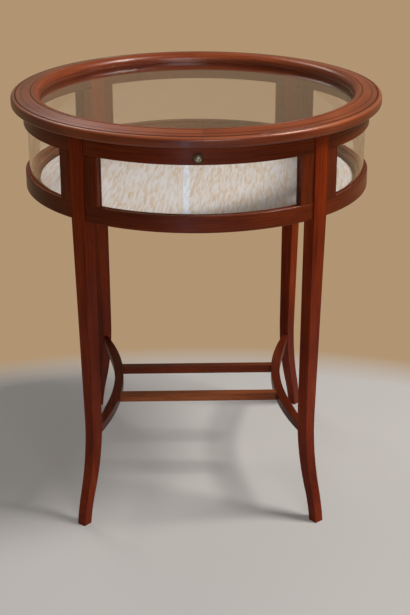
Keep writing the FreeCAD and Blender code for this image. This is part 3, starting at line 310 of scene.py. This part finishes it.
def make_wood(name, tone, grain, turn=0.0, seed=None, grime_and_light_masks=None):
    """Polished mahogany. grain is "arc" round the table's axis, or "x", "y" or "z" after the turn.

    With arc grain, grime_and_light_masks(graph, radius, angle, height) gives two 0 to 1 masks: painted shade
    with joint grime, and a painted highlight on the crown.
    """
    material, graph = start_material(name)
    x, y, z = graph.object_point(turn)
    painted_shade_and_grime = crown = None
    if grain == "arc":
        radius = graph.distance(x, y)
        angle = graph.math("ARCTAN2", y, x)
        if grime_and_light_masks:
            painted_shade_and_grime, crown = grime_and_light_masks(graph, radius, angle, z)
        along = graph.math("MULTIPLY", angle, GRAIN_REACH)
        across, other = radius, z
    else:
        along, across, other = {"x": (x, y, z), "y": (y, z, x), "z": (z, x, y)}[grain]
    seed = seeds.uniform(0, SEED_REACH) if seed is None else seed

    def pattern(scales, detail, rough=0.5, distortion=0.0):
        along_scale, across_scale, shift = scales
        where = graph.combine(
            graph.math("MULTIPLY_ADD", along, along_scale, seed + shift),
            graph.math("MULTIPLY_ADD", across, across_scale, seed - shift),
            graph.math("MULTIPLY", other, across_scale),
        )
        return graph.noise(where, detail=detail, rough=rough, distortion=distortion)

    figure = pattern(FIGURE, 2, distortion=0.4)
    streaks = pattern(STREAKS, 3, rough=0.6)
    fibres = pattern(FIBRES, 2)
    mottle = pattern(MOTTLE, 1)
    pores = graph.fade(pattern(PORES, 1), *PORE_LIMITS)

    dark, middle, light = MAHOGANY[tone]
    fine = graph.math(
        "ADD", graph.math("MULTIPLY", streaks, STREAK_SHARE), graph.math("MULTIPLY", mottle, MOTTLE_SHARE)
    )
    tone_value = graph.math("ADD", graph.math("MULTIPLY", figure, FIGURE_SHARE), fine)
    colour = graph.ramp(tone_value, list(zip(TONE_STOPS, (dark, middle, light))))
    colour = graph.mix(graph.math("MULTIPLY", pores, PORE_DEPTH), colour, srgb(dark))
    edge_normal, edge = worn_and_highlit_edge(graph)
    # arrises lighter: partly wear, partly a painted highlight
    colour = graph.mix(graph.math("MULTIPLY", edge, ARRIS_WEAR_AND_HIGHLIGHT), colour, srgb(light))
    # painted highlight on the nosing's crown, then painted shade and joint grime
    if painted_shade_and_grime is not None:
        colour = graph.mix(crown, colour, srgb(CROWN_HIGHLIGHT_TONE))
        colour = graph.mix(painted_shade_and_grime, colour, srgb(SHADE_AND_GRIME_TONE))
    height = graph.math("SUBTRACT", graph.math("MULTIPLY", fibres, FIBRE_RELIEF), pores)
    gloss, coat = FRENCH_POLISH[tone]
    graph.show(
        graph.shader(
            "ShaderNodeBsdfPrincipled",
            Base_Color=colour,
            Roughness=graph.fade(streaks, 0.3, 0.7, *POLISH_ROUGHNESS),
            Normal=graph.bump(height, GRAIN_RELIEF, GRAIN_BUMP, edge_normal),
            Specular_IOR_Level=gloss,
            Coat_Weight=coat,
            Coat_Roughness=COAT_ROUGHNESS,
            IOR=POLISH_IOR,
        )
    )
    return material


# ---------------------------------------------------------------- glass and metal

GLASS_TINT = (0.985, 0.985, 0.975, 1)
GLASS_SHADE = (0.945, 0.95, 0.945, 1)  # what the lamps' light keeps on its way through
GLASS_IOR = 1.46
GLASS_FILM = 0.016  # roughness where the glass is least clean
METALS = {  # tarnished and rubbed tones, least and most roughness, scale of the tarnish
    "lock_brass": ("#4a3a26", "#9a8560", 0.25, 0.5, 260),
    "lock_ring": ("#2a2018", "#5a4630", 0.35, 0.6, 260),
    "lock_dome": ("#77715f", "#b5ae99", 0.3, 0.44, 300),
    "hinge_brass": ("#8a6a34", "#c8a35c", 0.25, 0.5, 120),
    "screw_steel": ("#7c7a76", "#b2b0ab", 0.3, 0.5, 200),
}
SCRATCH_SCALE = 9  # of the tarnish's scale
SCRATCH_RELIEF = 0.00003


def make_glass(name):
    """Clear glass. Lamps and scattered light pass it straight, as through tinted air."""
    material, graph = start_material(name)
    film = graph.noise(graph.combine(*graph.object_point()), scale=9, detail=4, rough=0.6)
    glass = graph.shader(
        "ShaderNodeBsdfPrincipled",
        Base_Color=GLASS_TINT,
        Transmission_Weight=1.0,
        IOR=GLASS_IOR,
        Roughness=graph.fade(film, 0.35, 0.75, 0.0, GLASS_FILM),
    )
    clear = graph.shader("ShaderNodeBsdfTransparent", Color=GLASS_SHADE)
    path = graph.add("ShaderNodeLightPath").outputs
    straight = graph.math("MAXIMUM", path["Is Shadow Ray"], path["Is Diffuse Ray"])
    graph.show(graph.mix_shaders(straight, glass, clear))
    return material


def make_metal(name):
    """Aged metal: tarnish in cloudy patches, brighter where it is rubbed."""
    dark, light, rough_low, rough_high, speckle = METALS[name]
    material, graph = start_material(name)
    where = graph.combine(*graph.object_point())
    cloud = graph.noise(where, scale=speckle, detail=4, rough=0.65)
    scratch = graph.noise(where, scale=speckle * SCRATCH_SCALE, detail=2)
    graph.show(
        graph.shader(
            "ShaderNodeBsdfPrincipled",
            Base_Color=graph.ramp(cloud, [(0.35, dark), (0.65, light)]),
            Metallic=1.0,
            Roughness=graph.fade(scratch, 0.3, 0.7, rough_low, rough_high),
            Normal=graph.bump(scratch, SCRATCH_RELIEF, 0.4),
        )
    )
    return material


# ---------------------------------------------------------------- materials on the pieces

SIDES = {"right": 0, "back": 90, "left": 180, "front": 270}  # middle of each side of the case, degrees
LEG_TURNS = {"back_right": 49.3, "back_left": 130.7, "front_left": 229.3, "front_right": 310.7}
LID_TURNS = {"back_right": 45, "back_left": 135, "front_left": 225, "front_right": 315}
LID_SEEDS = {"back_right": 11.0, "back_left": 23.5, "front_left": 31.0, "front_right": 31.6}


def dress(node, material):
    """Shows a piece of the frame in a material and leaves its mesh alone."""
    piece = NODES[node]
    if not piece.material_slots:
        piece.data.materials.append(material)
    for slot in piece.material_slots:
        slot.link = "OBJECT"
        slot.material = material


def dress_wood():
    for side, middle in SIDES.items():
        turn = math.radians(-middle)
        for place in ("upper_rail", "lower_rail", "glazing_beads"):
            dress(f"{place}_{side}", make_wood(f"wood_{place}_{side}", "case", "arc", turn))
    for node in NODES:
        if node.startswith("stile_"):
            dress(node, make_wood("wood_" + node, "case", "z"))
    for leg, angle in LEG_TURNS.items():
        dress(f"leg_{leg}", make_wood(f"wood_leg_{leg}", "leg", "z", math.radians(-angle)))
    for part, angle in LID_TURNS.items():
        turn = math.radians(-angle)
        material = make_wood(f"wood_lid_{part}", "lid", "arc", turn, LID_SEEDS[part], lid_grime_and_painted_light)
        dress(f"lid_segment_{part}", material)
    # The bows' darker tones are painted shade.
    for side in ("left", "right"):
        dress(f"curved_stretcher_{side}", make_wood(f"wood_bow_{side}", "bow", "y"))
    # The front bar's lighter tones are painted light; the back bar takes the case's.
    for end, tone in (("front", "bar"), ("back", "case")):
        dress(f"straight_stretcher_{end}", make_wood(f"wood_bar_{end}", tone, "x"))
    dress("lid_glass_retainer", make_wood("wood_retainer", "case", "arc"))
    dress("lid_splines", make_wood("wood_splines", "case", "z"))
    dress("bottom_board", make_wood("wood_board", "board", "x"))


def dress_metal_and_glass():
    pane = make_glass("pane_glass")
    metals = {name: make_metal(name) for name in METALS}
    for node in NODES:
        if node.startswith("glass_pane_") or node == "lid_glass":
            dress(node, pane)
        elif node.startswith("hinge_"):
            dress(node, metals["hinge_brass"])
    for node in ("lock_nut", "lock_tongue", "lock_tongue_screw", "lid_keeper", "keeper_screws"):
        dress(node, metals["lock_brass"])
    dress("lock_housing", metals["lock_ring"])
    dress("lock_plug", metals["lock_dome"])
    dress("board_screws", metals["screw_steel"])


# ---------------------------------------------------------------- lining

SILK_TURN = math.radians(5)  # the cloth lies a little askew
SLUBS = (300, 26, 0.0)  # each pattern: scale across the slubs, scale along them, shift from the others
FLECKS = (430, 34, 8)
CLOUD = (12, 9, 4)
SLUB_STOPS = [(0.38, "#dad7da"), (0.5, "#d4ccc7"), (0.6, "#cdbaa7"), (0.72, "#c6aa8d")]
FLECK_TONE = "#bf9f7c"
FLECK_DEPTH = 0.35
# pale bluish clouds: uneven tone of the cloth and a painted sheen
CLOUD_AND_SHEEN_TONE = "#d8d7dd"
CLOUD_AND_SHEEN_DEPTH = 0.45
WEAVE_RATE = 9000  # radians per metre
WEAVE_RELIEF = 0.12  # of the slubs' relief
SILK_RELIEF = 0.0004
SILK_BUMP = 0.6
SILK_ROUGHNESS = 0.62
SHEEN_WEIGHT = 0.15
SHEEN_ROUGHNESS = 0.4

RINGS = 46
SPOKES = 240
RING_SPREAD = 0.8  # under 1 sets the rings closer together towards the rim
LINING_CROWN = 0.0006
LINING_RIM = 0.0028  # radius of the rounded rim
RIM_STEPS = 6
FOOT_HEIGHT = 0.0006
FOOT_INSET = 0.0008
PUCKER_COUNT = 96
PUCKER_DEPTH = 0.00022
PUCKER_REACH = 14  # power: the higher, the closer the puckers keep to the rim
RIPPLE_DEPTH = 0.00025
RIPPLE_SCALE = 14


def make_silk():
    """Ivory slub silk: fine weave with short raised beige slubs that run front to back."""
    material, graph = start_material("lining_silk")
    x, y, z = graph.object_point(SILK_TURN)

    def threads(scales, detail, rough=0.5, distortion=0.0):
        x_scale, y_scale, shift = scales
        where = graph.combine(
            graph.math("MULTIPLY_ADD", x, x_scale, shift), graph.math("MULTIPLY_ADD", y, y_scale, shift), z
        )
        return graph.noise(where, detail=detail, rough=rough, distortion=distortion)

    slubs = threads(SLUBS, 2, distortion=0.2)
    flecks = threads(FLECKS, 1)
    cloud = threads(CLOUD, 3)
    warp, weft = (graph.math("SINE", graph.math("MULTIPLY", way, WEAVE_RATE)) for way in (x, y))
    colour = graph.ramp(slubs, SLUB_STOPS)
    colour = graph.mix(graph.fade(flecks, 0.58, 0.7, 0.0, FLECK_DEPTH), colour, srgb(FLECK_TONE))
    # pale bluish clouds: uneven tone and painted sheen
    colour = graph.mix(graph.fade(cloud, 0.4, 0.65, 0.0, CLOUD_AND_SHEEN_DEPTH), colour, srgb(CLOUD_AND_SHEEN_TONE))
    weave = graph.math("MULTIPLY", warp, weft)
    height = graph.math("ADD", slubs, graph.math("MULTIPLY", weave, WEAVE_RELIEF))
    graph.show(
        graph.shader(
            "ShaderNodeBsdfPrincipled",
            Base_Color=colour,
            Roughness=SILK_ROUGHNESS,
            Normal=graph.bump(height, SILK_RELIEF, SILK_BUMP),
            Sheen_Weight=SHEEN_WEIGHT,
            Sheen_Roughness=SHEEN_ROUGHNESS,
        )
    )
    return material


def lining_rows(radius, bottom, top):
    """Each ring's distance from the middle, its height and its share of the way out, down to the foot."""
    flat = radius - LINING_RIM
    rows = []
    for ring in range(RINGS + 1):
        share = ring / RINGS
        rows.append((flat * share ** RING_SPREAD, top - LINING_CROWN * share ** 2, share))
    for step in range(1, RIM_STEPS + 1):
        angle = math.radians(90 / RIM_STEPS * step)
        drop = LINING_RIM * (1 - math.cos(angle))
        rows.append((flat + LINING_RIM * math.sin(angle), top - LINING_CROWN - drop, 1))
    rows.append((radius, bottom + FOOT_HEIGHT, 1))
    rows.append((radius - FOOT_INSET, bottom, 1))
    return rows


def lining_point(distance, height, share, turn, bottom):
    """Point of the cloth, which puckers near the rim and ripples a little. At the rim it only dips."""
    pull = share ** PUCKER_REACH * PUCKER_DEPTH * math.sin(PUCKER_COUNT * turn + 3 * math.sin(5 * turn))
    waves = distance * RIPPLE_SCALE
    ripple = RIPPLE_DEPTH * noise.noise(Vector((waves * math.cos(turn), waves * math.sin(turn), 1)))
    lift = min(pull + ripple, 0.0) if share == 1 else pull + ripple
    return distance * math.cos(turn), distance * math.sin(turn), max(height + lift, bottom)


def make_lining():
    """Padded panel with its cloth pulled over the edge: a soft crown, a rounded rim, fine pulls round it."""
    low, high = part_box("display_lining")
    rows = lining_rows(high.x, low.z, high.z)
    mesh = bmesh.new()
    centre = mesh.verts.new((0, 0, rows[0][1]))
    loops = [
        [mesh.verts.new(lining_point(*row, 2 * math.pi * spoke / SPOKES, low.z)) for spoke in range(SPOKES)]
        for row in rows[1:]
    ]
    for spoke in range(SPOKES):
        after = (spoke + 1) % SPOKES
        mesh.faces.new((centre, loops[0][spoke], loops[0][after]))
        for inner, outer in zip(loops, loops[1:]):
            mesh.faces.new((inner[spoke], outer[spoke], outer[after], inner[after]))
    mesh.faces.new(list(reversed(loops[-1])))
    bmesh.ops.recalc_face_normals(mesh, faces=mesh.faces)
    data = bpy.data.meshes.new("lining_cloth")
    mesh.to_mesh(data)
    mesh.free()
    for face in data.polygons:
        face.use_smooth = True
    lining = bpy.data.objects.new("lining_cloth", data)
    place_in_scene(lining)
    data.materials.append(make_silk())
    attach(lining, "case")
    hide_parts("display_lining")


# ---------------------------------------------------------------- stage and light

FLOOR_TONE = (0.57, 0.55, 0.53, 1)
BACKDROP_TONE = (0.44, 0.3, 0.172, 1)
STAGE_HALF = 9.0
FLOOR_CENTRE_Y = -0.8  # the pale part of the floor is a disc about this place
FLOOR_RADIUS = 1.2
FLOOR_BLEND = 0.14
FLOOR_GLOW = 0.12  # share of its own light in the pale floor as seen
DIM_FRONT = 0.12  # how strongly a reflection shows the backdrop in front of the table and behind it
DIM_BACK = 0.6
FLOOR_FRONT_TO_BACK = (-1.6, -0.3)  # where on the floor front turns to back
WORLD_FRONT_TO_BACK = (-0.3, 0.1)  # the same for the y of a direction
AMBIENT_TONE = (1.0, 0.98, 0.95, 1)
AMBIENT_STRENGTH = 0.08
LAMPS = {  # place, aim, size, watts and tone; the glint is the bluish strip on the front pane
    "key": ((1.86, -0.45, 2.9), (0, 0, 0.6), (0.9, 0.9), 88, (1.0, 0.97, 0.93)),
    "fill": ((0.5, -2.9, 1.3), (0, 0, 0.45), (1.2, 1.0), 26, (1.0, 0.97, 0.94)),
    "back": ((-1.0, 1.9, 2.7), (0, 0, 0.5), (1.0, 1.0), 16, (1.0, 0.97, 0.94)),
    "glint": ((-0.23, -1.8, 0.17), (-0.022, -0.3, 0.64), (0.11, 0.7), 1.3, (0.1, 0.55, 1.0)),
}


def backdrop_light(graph, depth):
    """How strongly the backdrop shows: fully by sight and through glass, less in a reflection, and not at all
    where it would only light the table. depth is 0 in front of the table and 1 behind it."""
    path = graph.add("ShaderNodeLightPath").outputs
    mirrored = graph.math("MULTIPLY", path["Is Glossy Ray"], graph.fade(depth, 0.0, 1.0, DIM_FRONT, DIM_BACK))
    return graph.highest((path["Is Camera Ray"], path["Is Transmission Ray"], mirrored))


def stage_material():
    """Matt pale floor round the table. Farther out it takes the even tone of the backdrop."""
    material, graph = start_material("stage_paper")
    x, y, _ = graph.object_point()
    reach = graph.distance(x, graph.math("SUBTRACT", y, FLOOR_CENTRE_Y))
    far = graph.fade(reach, FLOOR_RADIUS, FLOOR_RADIUS + FLOOR_BLEND)
    colour = graph.mix(far, FLOOR_TONE, BACKDROP_TONE)
    shown = backdrop_light(graph, graph.fade(y, *FLOOR_FRONT_TO_BACK))
    own_light = graph.math("MULTIPLY", shown, graph.fade(far, 0.0, 1.0, FLOOR_GLOW, 1.0))
    paper = graph.shader("ShaderNodeBsdfDiffuse", Color=colour)
    glow = graph.shader("ShaderNodeEmission", Color=colour)
    graph.show(graph.mix_shaders(own_light, paper, glow))
    return material


def make_stage():
    """Wide floor."""
    data = bpy.data.meshes.new("stage")
    corners = [(x * STAGE_HALF, y * STAGE_HALF, 0.0) for x, y in ((-1, -1), (1, -1), (1, 1), (-1, 1))]
    data.from_pydata(corners, [], [(0, 1, 2, 3)])
    stage = bpy.data.objects.new("stage", data)
    place_in_scene(stage)
    data.materials.append(stage_material())


def make_world():
    """Weak even light on the table. The camera, reflections and glass see the backdrop's tone instead."""
    world = bpy.data.worlds.new("studio")
    world.use_nodes = True
    graph = Graph(world.node_tree)
    split = graph.add("ShaderNodeSeparateXYZ")
    graph.link(graph.add("ShaderNodeTexCoord").outputs["Generated"], split.inputs[0])
    shown = backdrop_light(graph, graph.fade(split.outputs["Y"], *WORLD_FRONT_TO_BACK))
    ambient = graph.shader("ShaderNodeBackground", Color=AMBIENT_TONE, Strength=AMBIENT_STRENGTH)
    backdrop = graph.shader("ShaderNodeBackground", Color=BACKDROP_TONE)
    graph.show(graph.mix_shaders(shown, ambient, backdrop), "ShaderNodeOutputWorld")
    bpy.context.scene.world = world


def make_lamps():
    for name, (place, aim, size, watts, tone) in LAMPS.items():
        data = bpy.data.lights.new(name, "AREA")
        data.shape = "RECTANGLE"
        data.size, data.size_y = size
        data.energy = watts
        data.color = tone
        lamp = bpy.data.objects.new(name, data)
        lamp.location = place
        lamp.rotation_euler = (Vector(aim) - Vector(place)).to_track_quat("-Z", "Y").to_euler()
        lamp.visible_transmission = False  # no lamp shows through the panes
        place_in_scene(lamp)


bpy.context.scene.view_settings.view_transform = "Standard"
make_camera()
dress_wood()
dress_metal_and_glass()
make_lining()
make_stage()
make_world()
make_lamps()
